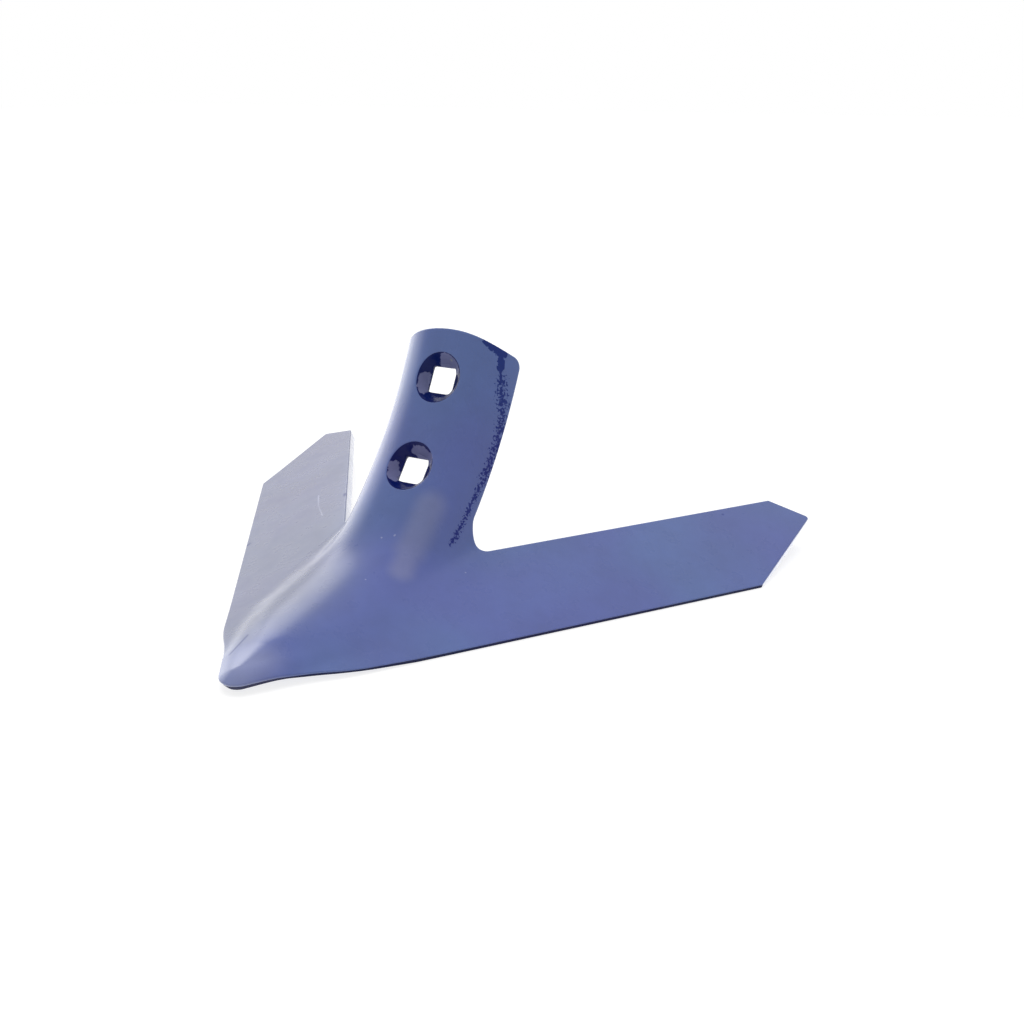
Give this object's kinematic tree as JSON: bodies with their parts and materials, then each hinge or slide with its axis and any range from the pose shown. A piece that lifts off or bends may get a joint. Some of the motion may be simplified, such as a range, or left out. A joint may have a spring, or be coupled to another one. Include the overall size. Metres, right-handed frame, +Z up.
{
  "type": "duckfoot sweep",
  "caption": "Wide V-shaped cultivator sweep pressed from one steel plate, with a curved shank and square bolt holes.",
  "frame": {"origin": "bottom centre of the bounding box, on the ground the sole lies on", "axes": "+Z up, the nose points along -Y in the direction of travel, the wings spread along X"},
  "size_m": [0.3046, 0.2653, 0.1139],
  "materials": {
    "painted_steel": "glossy deep blue paint over smooth pressed steel"
  },
  "bodies": {
    "root": {"duckfoot_sweep": "painted_steel"}
  },
  "joints": []
}
